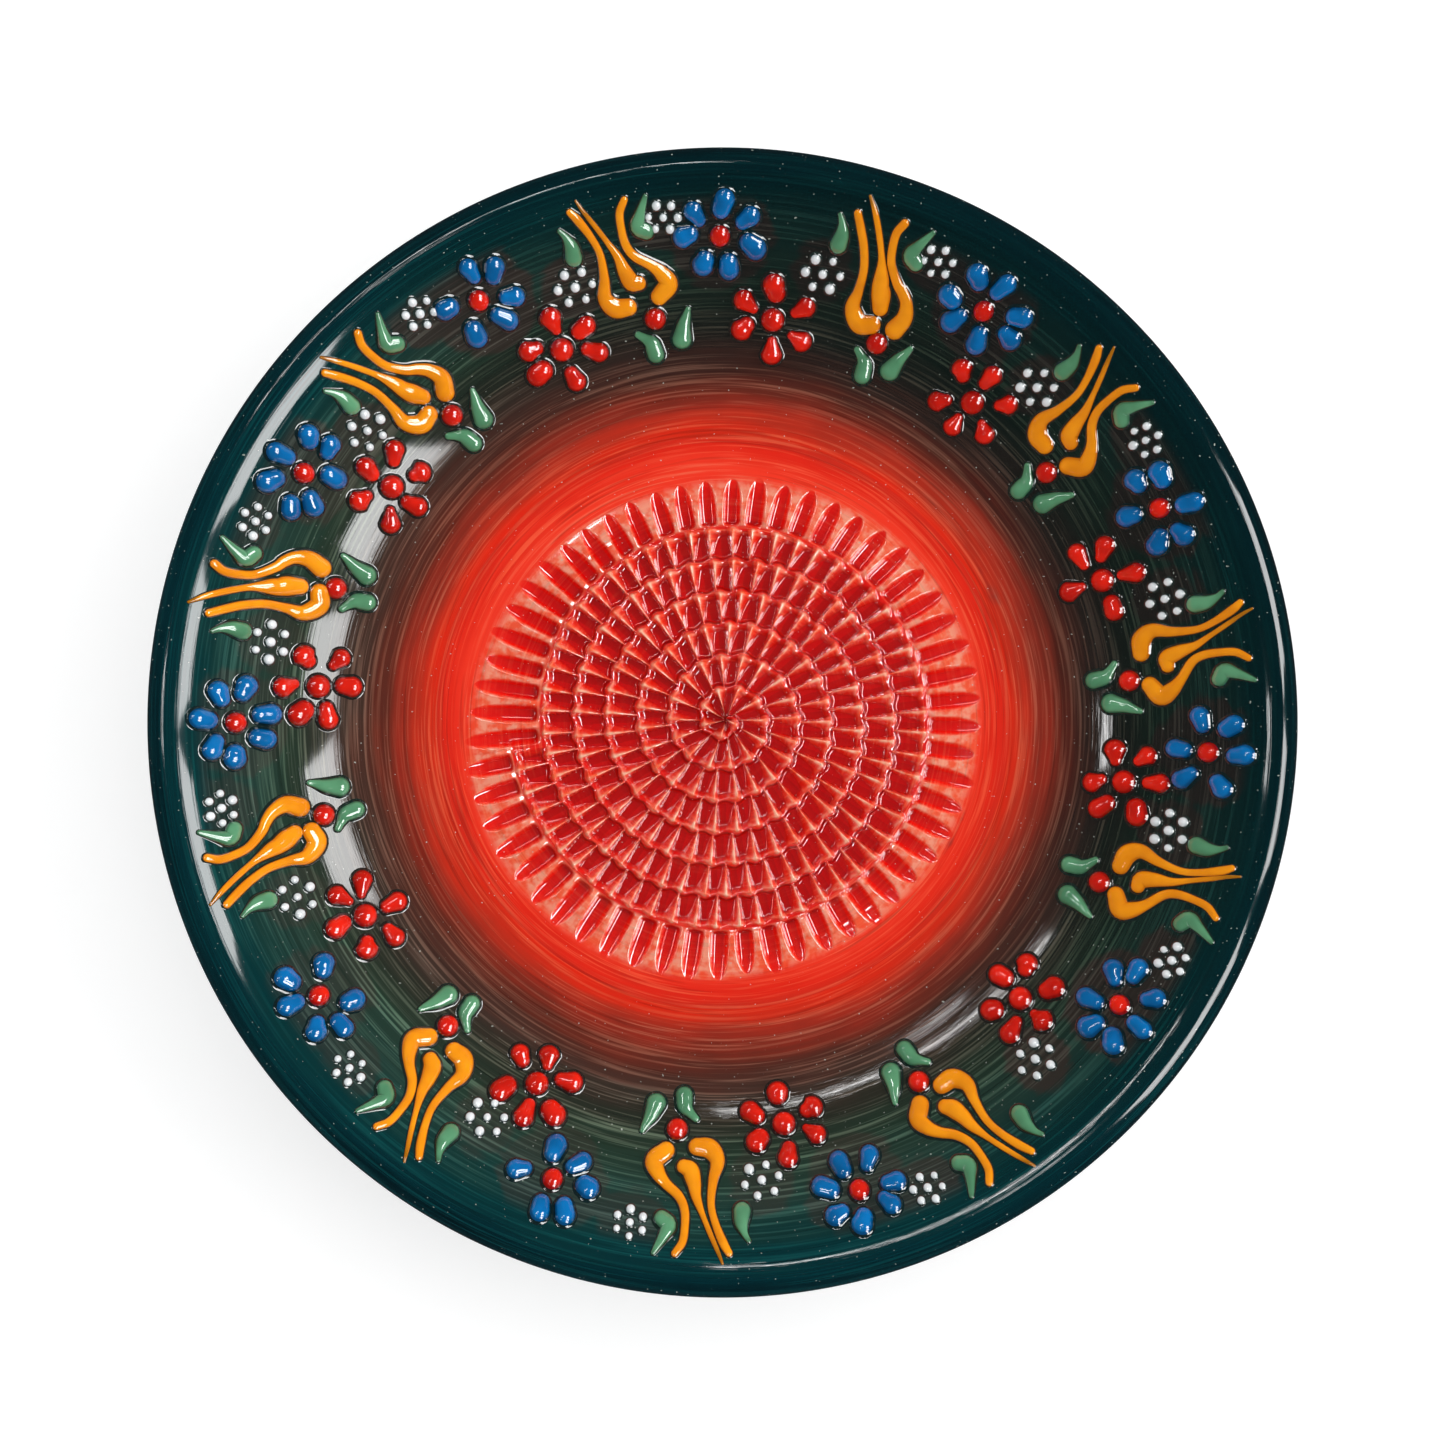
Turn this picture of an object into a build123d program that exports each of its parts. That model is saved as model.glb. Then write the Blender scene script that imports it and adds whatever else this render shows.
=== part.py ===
"""A garlic-grater plate in glazed pottery: a turned clay dish, its glaze, the scored grater in its
floor, and the painted border of raised enamel beads.  Millimetres, +Z up, and the origin is at the
centre of the foot's resting face."""

from build123d import *
from math import atan2, cos, degrees, hypot, radians, sin, sqrt, tan
import os

# ---- dish -------------------------------------------------------------------------------------
plate_radius = 65.0          # to the outermost point of the lip
floor_height = 8.0           # glazed floor above the table
floor_radius = 38.3          # the flat floor ends here
wall_thickness = 4.6         # clay with glaze on both faces
hollow_radius = 18.7         # curve where the floor turns up into the wall
wall_slope = 37.0            # degrees, the straight part of the wall
roll_radius = 6.5            # curve where the wall rolls over into the lip
lip_slope = 13.0             # degrees, where the roll meets the rounded lip
glaze_thickness = 0.3

foot_outer_radius = 34.0
foot_inner_radius = 29.0
foot_corner = 0.8            # rounding of the foot ring's two lower edges
bare_foot_height = 1.2       # the glaze stops this far above the table
recess_height = 3.2          # underside of the floor, inside the foot ring

# ---- grater -----------------------------------------------------------------------------------
spiral_pitch = 3.65          # from one turn of teeth to the next
spiral_end_radius = 24.8     # where the outermost turn stops
spiral_end_bearing = 188.0
spiral_start_radius = 4.0
spiral_centre = (0.4, 0.3)   # the hand-cut spiral is a little off the dish's axis
tooth_spacing = 2.6
tooth_length = 3.2
tooth_width = 2.1            # at the tall outer end
tooth_tail_width = 0.6
tooth_height = 1.3
tooth_tail_height = 0.35
small_tooth_share = 0.8      # width of the short teeth in the tight middle turns
ridge_count = 56             # low webs between the long scored flutes around the spiral
ridge_outer_radius = 31.7
ridge_inner_width = 0.5
ridge_outer_width = 1.1
ridge_height = 0.9
ridge_tail_height = 0.15
ridge_gap = 0.5              # between the spiral's edge and the ridges

# ---- painted border ---------------------------------------------------------------------------
# Eleven hand-placed repeats.  Bearings in degrees, counter-clockwise from +X.
tulip_bearings = (102.5, 70.9, 40.7, 8.9, -19.9, -58.3, -93.3, -129.1, -163.9, 163.9, 134.4)
blue_flower_bearings = (90.3, 57.6, 26.1, -3.5, -35.4, -73.7, -110.4, -145.9, 180.0, 149.2, 120.0)
red_flower_bearings = (82.9, 52.0, 20.5, -8.4, -42.8, -81.3, -117.2, -151.6, 174.9, 144.5, 113.3)
inner_dots_bearings = (108.7, 77.4, 46.8, 15.6, -13.6, -47.1, -85.1, -120.8, -157.7, 169.9, 140.6)
outer_dots_bearings = (96.7, 64.9, 33.7, None, -27.9, -66.2, -100.5, -137.2, -170.3, 156.7, 126.5)
tulip_radius = 54.0
pattern_bearing = 90.0       # the tulip's strokes are laid out here and turned to each bearing
blue_flower_radius = 55.4
red_flower_radius = 46.6
inner_dots_radius = 52.4
outer_dots_radius = 57.6

blue_petal_counts = (7, 7, 6, 6, 7, 7, 7, 7, 7, 7, 7)
blue_first_heading = -8.0    # of the outermost petal, from straight outward
blue_petal_reach = 4.1       # from the flower's centre to the middle of a petal
blue_petal_size = (2.7, 1.2)  # length and half width
red_petal_count = 6
red_first_heading = 0.0
red_petal_reach = 3.8
red_petal_size = (2.9, 1.25)
flower_centre_radius = 1.4
bead_sink = 0.45             # a bead's axis lies this far under the glaze
seat_gap = 0.02              # a bead's underside clears the glaze by this much
petal_blunt = 0.08           # widest point beyond the middle, as a share of the length
leaf_blunt = 0.2

bud_place = (-7.1, -2.5)     # outward and counter-clockwise from the tulip's anchor
bud_radius = 1.15
dot_radius = 0.62
middle_dot_radius = 0.74
dot_ring_radius = 2.0
outer_dots_scale = 0.72      # the clusters squeezed in by the blue flowers are smaller
dot_ring_squash = 0.85       # in plan, a ring of dots on the slope looks narrower outward
dot_ring_count = 6
dot_sink = 0.18

# The unevenness of hand work: turn in degrees and shift in millimetres.
petal_heading_drift = 6
petal_turn_drift = 12
petal_reach_drift = 0.2
petal_length_drift = 0.15
leaf_turn_drift = 8
dot_ring_drift = 25

# A tulip's three trailed strokes: (outward, counter-clockwise, half width) along each one.
tulip_strokes = (
    ((-5.4, -0.9, 0.55), (-5.6, 0.2, 1.1), (-5.1, 1.5, 1.15), (-3.8, 2.0, 0.9), (-2.0, 1.9, 0.6),
     (0.3, 2.0, 0.5), (2.4, 2.6, 0.48), (4.3, 3.5, 0.5), (5.5, 4.3, 0.3)),
    ((-3.9, -1.8, 0.5), (-3.1, -1.4, 1.05), (-2.1, -0.9, 1.1), (-0.7, -0.3, 0.8), (0.9, 0.3, 0.5),
     (2.8, 1.2, 0.38), (4.9, 2.3, 0.3), (6.9, 3.4, 0.18)),
    ((-5.3, -3.0, 0.6), (-4.8, -3.9, 1.1), (-3.7, -4.6, 1.15), (-2.3, -4.2, 0.85), (-0.9, -3.0, 0.6),
     (0.7, -1.6, 0.52), (2.4, -0.9, 0.5), (4.2, -0.8, 0.48), (6.0, -1.5, 0.3)),
)
stroke_sink = 0.35           # part of a stroke's half width that lies under the glaze

# A tulip's four leaves: (outward, counter-clockwise, heading of the tip in degrees, length).
leaves = (
    (3.1, 5.6, 28.0, 3.4),
    (4.2, -3.1, -12.0, 3.6),
    (-9.6, -1.1, 38.0, 3.7),
    (-9.1, -6.3, -24.0, 3.8),
)
leaf_half_width = 1.05

# ---- the dish's section, worked out from the sizes above ----------------------------------------
lip_radius = wall_thickness / 2
lip_centre_radius = plate_radius - lip_radius


def around(centre, radius, angle):
    """The point of a circle in the section, angle in degrees from +X."""
    return (centre[0] + radius * cos(radians(angle)), centre[1] + radius * sin(radians(angle)))


hollow_centre = (floor_radius, floor_height + hollow_radius)
wall_foot = around(hollow_centre, hollow_radius, 270 + wall_slope)
roll_centre_radius = lip_centre_radius + (roll_radius - lip_radius) * sin(radians(lip_slope))
wall_top_radius = roll_centre_radius - roll_radius * sin(radians(wall_slope))
wall_top_height = wall_foot[1] + (wall_top_radius - wall_foot[0]) * tan(radians(wall_slope))
roll_centre = (roll_centre_radius, wall_top_height - roll_radius * cos(radians(wall_slope)))
lip_centre = around(roll_centre, roll_radius - lip_radius, 90 + lip_slope)


def arc(centre, radius, start, end):
    """An arc of the section from one angle to the other, in degrees."""
    return ThreePointArc(*[around(centre, radius, angle) for angle in (start, (start + end) / 2, end)])


def inside_wall(inset):
    """The inside of the wall from the floor to the lip, set in from the glazed surface."""
    hollow = arc(hollow_centre, hollow_radius + inset, 270, 270 + wall_slope)
    roll = arc(roll_centre, roll_radius - inset, 90 + wall_slope, 90 + lip_slope)
    Line(hollow @ 1, roll @ 0)
    return roll @ 1


def section_wall(inset):
    """The inside, lip and underside of the wall, set in from the glazed surface."""
    inside_wall(inset)
    arc(lip_centre, lip_radius - inset, 90 + lip_slope, -90 + lip_slope)
    under_roll = arc(roll_centre, roll_radius - wall_thickness + inset, 90 + lip_slope, 90 + wall_slope)
    under_hollow = arc(hollow_centre, hollow_radius + wall_thickness - inset, 270 + wall_slope, 270)
    Line(under_roll @ 1, under_hollow @ 0)


def surface_height(radius):
    """Height of the glazed inside at a distance from the axis."""
    if radius <= floor_radius:
        return floor_height
    if radius <= wall_foot[0]:
        return hollow_centre[1] - sqrt(hollow_radius**2 - (radius - hollow_centre[0]) ** 2)
    if radius <= wall_top_radius:
        return wall_foot[1] + (radius - wall_foot[0]) * tan(radians(wall_slope))
    return roll_centre[1] + sqrt(roll_radius**2 - (radius - roll_centre[0]) ** 2)


def surface_slope(radius):
    """Slope of the glazed inside, in radians, rising outward."""
    if radius <= floor_radius:
        return 0.0
    if radius <= wall_foot[0]:
        return atan2(radius - hollow_centre[0], hollow_centre[1] - surface_height(radius))
    if radius <= wall_top_radius:
        return radians(wall_slope)
    return atan2(roll_centre[0] - radius, surface_height(radius) - roll_centre[1])


def seat(x, y, heading, sink=0.0):
    """A plane on the glaze above a point of the plan.  Its x axis is turned from uphill by heading,
    in degrees, and its z axis is the surface's normal."""
    radius = hypot(x, y)
    slope = surface_slope(radius)
    outward = Vector(x / radius, y / radius, 0)
    sideways = Vector(-y / radius, x / radius, 0)
    uphill = outward * cos(slope) + Vector(0, 0, sin(slope))
    normal = Vector(0, 0, cos(slope)) - outward * sin(slope)
    point = Vector(x, y, surface_height(radius)) - normal * sink
    along = uphill * cos(radians(heading)) + sideways * sin(radians(heading))
    return Plane(origin=point, x_dir=along, z_dir=normal)


def plan_point(anchor_radius, bearing, outward, sideways):
    """Plan x and y of a point given from a motif's anchor."""
    turn = radians(bearing)
    reach = anchor_radius + outward
    return (reach * cos(turn) - sideways * sin(turn), reach * sin(turn) + sideways * cos(turn))


def drift(index, phase, amount):
    """The small unevenness of work placed by hand."""
    return amount * sin(2.4 * index + phase)


def write(piece, name):
    """Label a finished piece and write it to its own file."""
    piece.part.label = name
    export_step(piece.part, f"parts/{name}.step")


# ---- clay and glaze ---------------------------------------------------------------------------
def make_clay_body():
    clay_floor = floor_height - glaze_thickness
    clay_under = floor_height - wall_thickness + glaze_thickness
    with BuildPart() as clay_body:
        with BuildSketch(Plane.XZ):
            with BuildLine():
                Line((0, clay_floor), (floor_radius, clay_floor))
                section_wall(glaze_thickness)
                Polyline(
                    (floor_radius, clay_under),
                    (foot_outer_radius, clay_under),
                    (foot_outer_radius, 0),
                    (foot_inner_radius, 0),
                    (foot_inner_radius, recess_height),
                    (0, recess_height),
                    (0, clay_floor),
                )
            make_face()
        revolve(axis=Axis.Z)
        foot_edges = clay_body.edges().filter_by(GeomType.CIRCLE).group_by(Axis.Z)[0]
        fillet(foot_edges, foot_corner)
    write(clay_body, "clay_body")


def make_glaze_coat():
    clay_floor = floor_height - glaze_thickness
    glaze_under = floor_height - wall_thickness
    clay_under = glaze_under + glaze_thickness
    glazed_foot_radius = foot_outer_radius + glaze_thickness
    with BuildPart() as glaze_coat:
        with BuildSketch(Plane.XZ):
            with BuildLine():
                Line((0, floor_height), (floor_radius, floor_height))
                section_wall(0)
                Polyline(
                    (floor_radius, glaze_under),
                    (glazed_foot_radius, glaze_under),
                    (glazed_foot_radius, bare_foot_height),
                    (foot_outer_radius, bare_foot_height),
                    (foot_outer_radius, clay_under),
                    (floor_radius, clay_under),
                )
                section_wall(glaze_thickness)
                Polyline((floor_radius, clay_floor), (0, clay_floor), (0, floor_height))
            make_face()
        revolve(axis=Axis.Z)
    write(glaze_coat, "glaze_coat")


def make_seat_tool():
    """Everything up to just above the glazed inside of the wall, which cuts each bead's underside."""
    with BuildPart() as tool:
        with BuildSketch(Plane.XZ):
            with BuildLine():
                Line((0, floor_height + seat_gap), (floor_radius, floor_height + seat_gap))
                top_end = inside_wall(-seat_gap)
                Polyline(top_end, (top_end.X, 0), (0, 0), (0, floor_height + seat_gap))
            make_face()
        revolve(axis=Axis.Z)
    return tool.part


# ---- grater -----------------------------------------------------------------------------------
def wedge(length, tall_end, low_end):
    """A tooth or ridge along +X with its tall end at the origin; each end is (width, height)."""
    with BuildPart() as piece:
        with BuildSketch(Plane.YZ):
            Rectangle(*tall_end, align=(Align.CENTER, Align.MIN))
        with BuildSketch(Plane.YZ.offset(length)):
            Rectangle(*low_end, align=(Align.CENTER, Align.MIN))
        loft(ruled=True)
    return piece.part


def spiral_place(radius, bearing, facing):
    """A place on the floor around the spiral's centre; facing 0 looks outward and 180 inward."""
    x = spiral_centre[0] + radius * cos(radians(bearing))
    y = spiral_centre[1] + radius * sin(radians(bearing))
    return Location((x, y, floor_height), (0, 0, bearing + facing))


def spiral_radius(bearing):
    """Radius of the spiral's outer turn at a bearing; it opens clockwise to its end."""
    turned_back = (bearing - spiral_end_bearing) % 360
    return spiral_end_radius - spiral_pitch * turned_back / 360


def make_grater_teeth():
    full_tooth = wedge(tooth_length, (tooth_width, tooth_height), (tooth_tail_width, tooth_tail_height))
    small_end = (tooth_width * small_tooth_share, tooth_height)
    small_tooth = wedge(tooth_length / 2, small_end, (tooth_tail_width, tooth_tail_height))
    full_places = []
    small_places = []
    radius = spiral_end_radius
    bearing = spiral_end_bearing
    while radius > spiral_start_radius:
        places = full_places if radius > 2 * tooth_length else small_places
        places.append(spiral_place(radius, bearing, 180))
        step = degrees(tooth_spacing / radius)
        bearing += step
        radius -= spiral_pitch * step / 360
    ridges = []
    for count in range(ridge_count):
        bearing = spiral_end_bearing + 360 * (count + 0.5) / ridge_count
        start = spiral_radius(bearing) + ridge_gap
        length = ridge_outer_radius - start
        ridge = wedge(length, (ridge_inner_width, ridge_height), (ridge_outer_width, ridge_tail_height))
        ridges.append(ridge.moved(spiral_place(start, bearing, 0)))
    with BuildPart() as grater_teeth:
        with Locations(*full_places):
            add(full_tooth)
        with Locations(*small_places):
            add(small_tooth)
        add(ridges)
    write(grater_teeth, "grater_teeth")


# ---- enamel beads -----------------------------------------------------------------------------
def trailed_bead(place, length, half_width, blunt):
    """An oval bead along the place's x axis.  blunt moves its widest point towards the head."""
    section = Plane(origin=place.origin, x_dir=place.x_dir, z_dir=-place.y_dir)
    with BuildPart() as bead:
        with BuildSketch(section):
            with BuildLine():
                Spline(
                    (-length / 2, 0),
                    (blunt * length, half_width),
                    (length / 2, 0),
                    tangents=[(0, 1), (0, -1)],
                )
                Line((length / 2, 0), (-length / 2, 0))
            make_face()
        revolve(axis=Axis(place.origin, place.x_dir))
    return bead.part


def round_bead(x, y, radius, sink):
    """A round bead on the glaze above a point of the plan."""
    return trailed_bead(seat(x, y, 0, sink), 2 * radius, radius, 0)


def petals(anchor_radius, bearing, index, count, first_heading, reach, size):
    """A ring of petals in the sloping surface, headed away from the flower's centre."""
    centre = plan_point(anchor_radius, bearing, 0, 0)
    middle = seat(*centre, heading=0)
    ring = []
    for number in range(count):
        heading = first_heading + 360 * number / count + drift(index + number, 0.4, petal_heading_drift)
        distance = reach + drift(index + 2 * number, 0.9, petal_reach_drift)
        across = (distance * cos(radians(heading)), distance * sin(radians(heading)), 0)
        point = middle.from_local_coords(across)
        place = seat(point.X, point.Y, heading + drift(number, index, petal_turn_drift), bead_sink)
        length = size[0] + drift(index + number, 2.1, petal_length_drift) + bead_sink
        ring.append(trailed_bead(place, length, size[1], petal_blunt))
    return ring


def stroke(points):
    """A trailed stroke of the pattern tulip: rounds of changing size, lofted along its line."""
    rounds = []
    for outward, sideways, half_width in points:
        x, y = plan_point(tulip_radius, pattern_bearing, outward, sideways)
        rounds.append((seat(x, y, 0, stroke_sink * half_width).origin, half_width))
    with BuildPart() as trail:
        for number, (point, half_width) in enumerate(rounds):
            before = rounds[max(number - 1, 0)][0]
            after = rounds[min(number + 1, len(rounds) - 1)][0]
            with BuildSketch(Plane(origin=point, z_dir=after - before)):
                Circle(half_width)
        loft()
    return trail.part


def tulip_leaves(bearing, index):
    """The four leaves round one tulip."""
    beads = []
    for number, (outward, sideways, heading, length) in enumerate(leaves):
        x, y = plan_point(tulip_radius, bearing, outward, sideways)
        place = seat(x, y, heading + 180 + drift(index, number, leaf_turn_drift), bead_sink)
        beads.append(trailed_bead(place, length + bead_sink, leaf_half_width, leaf_blunt))
    return beads


def dot_cluster(anchor_radius, bearing, index, scale):
    """Seven dots: one in the middle and a ring round it."""
    middle = plan_point(anchor_radius, bearing, 0, 0)
    beads = [round_bead(*middle, scale * middle_dot_radius, dot_sink)]
    reach = scale * dot_ring_radius
    for count in range(dot_ring_count):
        heading = radians(360 * count / dot_ring_count + drift(index, anchor_radius, dot_ring_drift))
        uphill = dot_ring_squash * reach * cos(heading)
        x, y = plan_point(anchor_radius, bearing, uphill, reach * sin(heading))
        beads.append(round_bead(x, y, scale * dot_radius, dot_sink))
    return beads


def trimmed(beads, seat_tool):
    """Beads cut to stand on the glaze."""
    with BuildPart() as enamel:
        add(beads)
        add(seat_tool, mode=Mode.SUBTRACT)
    return enamel


def make_enamel(beads, seat_tool, name):
    """Beads of one colour as one file."""
    write(trimmed(beads, seat_tool), name)


def make_tulips(seat_tool):
    pattern = trimmed([stroke(points) for points in tulip_strokes], seat_tool).part
    buds = []
    for index, bearing in enumerate(tulip_bearings):
        number = f"{index + 1:02d}"
        with BuildPart() as tulip:
            add(pattern, rotation=(0, 0, bearing - pattern_bearing))
        write(tulip, f"tulip_{number}")
        make_enamel(tulip_leaves(bearing, index), seat_tool, f"leaves_{number}")
        buds.append(round_bead(*plan_point(tulip_radius, bearing, *bud_place), bud_radius, bead_sink))
    make_enamel(buds, seat_tool, "tulip_buds")


def make_white_dots(seat_tool):
    for index, bearing in enumerate(inner_dots_bearings):
        beads = dot_cluster(inner_dots_radius, bearing, index, 1)
        if outer_dots_bearings[index] is not None:
            beads += dot_cluster(outer_dots_radius, outer_dots_bearings[index], index, outer_dots_scale)
        make_enamel(beads, seat_tool, f"white_dots_{index + 1:02d}")


def make_blue_flowers(seat_tool):
    centres = []
    for index, bearing in enumerate(blue_flower_bearings):
        beads = petals(
            blue_flower_radius, bearing, index,
            blue_petal_counts[index], blue_first_heading, blue_petal_reach, blue_petal_size,
        )
        make_enamel(beads, seat_tool, f"blue_flower_{index + 1:02d}")
        x, y = plan_point(blue_flower_radius, bearing, 0, 0)
        centres.append(round_bead(x, y, flower_centre_radius, bead_sink))
    make_enamel(centres, seat_tool, "blue_flower_centres")


def make_red_flowers(seat_tool):
    for index, bearing in enumerate(red_flower_bearings):
        beads = petals(
            red_flower_radius, bearing, index,
            red_petal_count, red_first_heading, red_petal_reach, red_petal_size,
        )
        x, y = plan_point(red_flower_radius, bearing, 0, 0)
        beads.append(round_bead(x, y, flower_centre_radius, bead_sink))
        make_enamel(beads, seat_tool, f"red_flower_{index + 1:02d}")


# ---- build and write --------------------------------------------------------------------------
os.makedirs("parts", exist_ok=True)
make_clay_body()
make_glaze_coat()
make_grater_teeth()
wall_tool = make_seat_tool()
make_tulips(wall_tool)
make_white_dots(wall_tool)
make_blue_flowers(wall_tool)
make_red_flowers(wall_tool)
print("overall height", round(lip_centre[1] + lip_radius, 2))
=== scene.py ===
"""The finished look of the glazed grater plate: scored floor, brushed glaze, raised enamel flowers,
with a plain pale setting and soft daylight.  Lengths are in millimetres until a mesh is made."""

from math import atan2, cos, degrees, pi, radians, sin, tan

import bmesh
import bpy
import numpy as np
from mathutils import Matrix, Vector


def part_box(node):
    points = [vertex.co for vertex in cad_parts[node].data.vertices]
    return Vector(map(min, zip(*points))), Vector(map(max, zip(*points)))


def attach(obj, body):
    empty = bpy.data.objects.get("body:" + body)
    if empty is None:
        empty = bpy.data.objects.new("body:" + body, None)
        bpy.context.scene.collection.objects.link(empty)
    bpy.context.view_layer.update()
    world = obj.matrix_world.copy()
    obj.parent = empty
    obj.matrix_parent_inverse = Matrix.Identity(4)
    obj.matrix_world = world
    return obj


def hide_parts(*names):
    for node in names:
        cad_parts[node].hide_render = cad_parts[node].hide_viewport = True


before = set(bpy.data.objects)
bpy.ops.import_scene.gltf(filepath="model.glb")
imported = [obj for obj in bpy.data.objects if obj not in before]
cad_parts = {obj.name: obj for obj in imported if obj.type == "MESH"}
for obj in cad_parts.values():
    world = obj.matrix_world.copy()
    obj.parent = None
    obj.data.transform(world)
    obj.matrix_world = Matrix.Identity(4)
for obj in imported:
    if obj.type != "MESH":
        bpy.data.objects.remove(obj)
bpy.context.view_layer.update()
MM = 0.001
chance = np.random.RandomState(7)

# ---- the dish, measured from the CAD nodes ------------------------------------------------------
plate_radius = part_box("glaze_coat")[1].x / MM
floor_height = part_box("grater_teeth")[0].z / MM
lip_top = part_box("glaze_coat")[1].z / MM
glaze_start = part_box("glaze_coat")[0].z / MM     # the foot below this is bare clay
floor_radius = 38.3
wall_thickness = 4.6
hollow_radius = 18.7
wall_slope = radians(37.0)
roll_radius = 6.5
lip_slope = radians(13.0)
lip_radius = wall_thickness / 2
foot_outer = 34.3
foot_inner = 29.0
foot_corner = 0.8
recess_height = 3.2

lip_centre = (plate_radius - lip_radius, lip_top - lip_radius)
roll_centre = (
    lip_centre[0] + (roll_radius - lip_radius) * sin(lip_slope),
    lip_centre[1] - (roll_radius - lip_radius) * cos(lip_slope),
)
hollow_centre = (floor_radius, floor_height + hollow_radius)
wall_foot = (
    hollow_centre[0] + hollow_radius * sin(wall_slope),
    hollow_centre[1] - hollow_radius * cos(wall_slope),
)
wall_top = (
    roll_centre[0] - roll_radius * sin(wall_slope),
    roll_centre[1] + roll_radius * cos(wall_slope),
)


def surface_height(radius):
    """Height of the glazed inside at distances from the axis."""
    hollow = hollow_centre[1] - np.sqrt(np.maximum(hollow_radius**2 - (radius - hollow_centre[0]) ** 2, 0))
    straight = wall_foot[1] + (radius - wall_foot[0]) * tan(wall_slope)
    roll = roll_centre[1] + np.sqrt(np.maximum(roll_radius**2 - (radius - roll_centre[0]) ** 2, 0))
    height = np.where(radius <= floor_radius, floor_height, hollow)
    height = np.where(radius > wall_foot[0], straight, height)
    return np.where(radius > wall_top[0], roll, height)


def surface_slope(radius):
    """Slope of the glazed inside in radians, rising outward."""
    hollow = np.arcsin(np.clip((radius - hollow_centre[0]) / hollow_radius, 0, 1))
    roll = np.arcsin(np.clip((roll_centre[0] - radius) / roll_radius, 0, 1))
    slope = np.where(radius > wall_foot[0], wall_slope, hollow)
    return np.where(radius > wall_top[0], roll, slope)


# ---- mesh helpers -------------------------------------------------------------------------------
def make_piece(name, points, faces, material, stands_for=(), normals=None, values=None):
    """A smooth mesh piece on the dish.  values holds named numbers for each point."""
    mesh = bpy.data.meshes.new(name)
    mesh.from_pydata((points * MM).tolist(), [], faces)
    for key, numbers in (values or {}).items():
        layer = mesh.attributes.new(key, "FLOAT", "POINT")
        layer.data.foreach_set("value", np.asarray(numbers, np.float32))
    mesh.polygons.foreach_set("use_smooth", [True] * len(mesh.polygons))
    if normals is not None:
        mesh.normals_split_custom_set_from_vertices(normals.tolist())
    mesh.materials.append(material)
    piece = bpy.data.objects.new(name, mesh)
    bpy.context.scene.collection.objects.link(piece)
    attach(piece, "root")
    if stands_for:
        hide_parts(*stands_for)
    return piece


def ring_faces(rings, turns):
    """Quads between closed rings of points, wound so that they face up when the rings grow."""
    first = np.arange(rings - 1)[:, None] * turns
    here = np.arange(turns)[None, :]
    after = (here + 1) % turns
    corners = (first + here, first + turns + here, first + turns + after, first + after)
    return np.stack(corners, axis=-1).reshape(-1, 4).tolist()


def revolved(name, profile, turns, material, stands_for=()):
    """A turned surface from (radius, height, slope) rows; slope is the surface's, rising outward."""
    rows = np.array(profile)
    angles = np.linspace(0, 2 * pi, turns, endpoint=False)
    cosines, sines = np.cos(angles), np.sin(angles)
    radius, height, slope = rows[:, 0:1], rows[:, 1:2], rows[:, 2:3]
    points = np.stack([radius * cosines, radius * sines, height + 0 * cosines], axis=-1)
    lean = -np.sin(slope)
    normals = np.stack([lean * cosines, lean * sines, np.cos(slope) + 0 * cosines], axis=-1)
    return make_piece(
        name, points.reshape(-1, 3), ring_faces(len(rows), turns), material,
        stands_for, normals.reshape(-1, 3),
    )


def smooth_step(low, high, value):
    """0 at low and 1 at high, level at both ends; low may be the larger one."""
    share = np.clip((value - low) / (high - low), 0, 1)
    return share * share * (3 - 2 * share)


# ---- materials ----------------------------------------------------------------------------------
def linear(red, green, blue):
    """A display colour, 0 to 255, as scene-linear numbers."""
    shares = [c / 255 for c in (red, green, blue)]
    return [c / 12.92 if c <= 0.04045 else ((c + 0.055) / 1.055) ** 2.4 for c in shares] + [1.0]


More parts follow.
